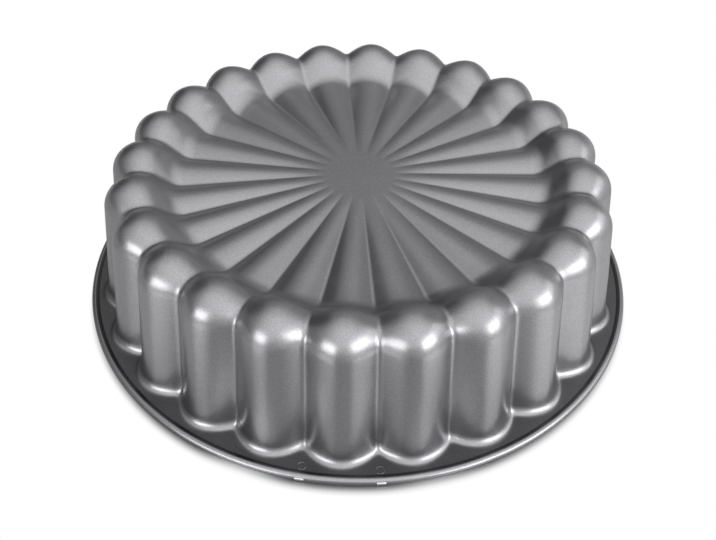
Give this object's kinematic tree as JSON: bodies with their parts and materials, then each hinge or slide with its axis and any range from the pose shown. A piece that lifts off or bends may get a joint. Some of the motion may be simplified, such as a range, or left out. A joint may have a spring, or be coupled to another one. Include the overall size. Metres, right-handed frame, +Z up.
{
  "type": "charlotte mould",
  "caption": "Round fluted cake mould in cast metal, mouth down, with ladyfinger flutes over a rounded crown, a recessed petalled face and a beaded rim flange.",
  "frame": {"origin": "centre of the mouth, on the plane that the rim rests on", "axes": "+Z up along the mould's axis, towards the moulded face; -Y runs through the crest of one flute, at the front"},
  "size_m": [0.2672, 0.2672, 0.0669],
  "materials": {
    "cast_aluminium": "bare die-cast aluminium, satin, showing only on the resting edge of the rim",
    "silver_coat": "silver-grey metallic bakeware coat, satin, with a fine metal flake grain",
    "nonstick": "dark grey non-stick release coating, low sheen, with a fine orange-peel texture"
  },
  "bodies": {
    "root": {"cast_shell": "cast_aluminium", "outer_coat": "silver_coat", "nonstick_lining": "nonstick"}
  },
  "joints": []
}
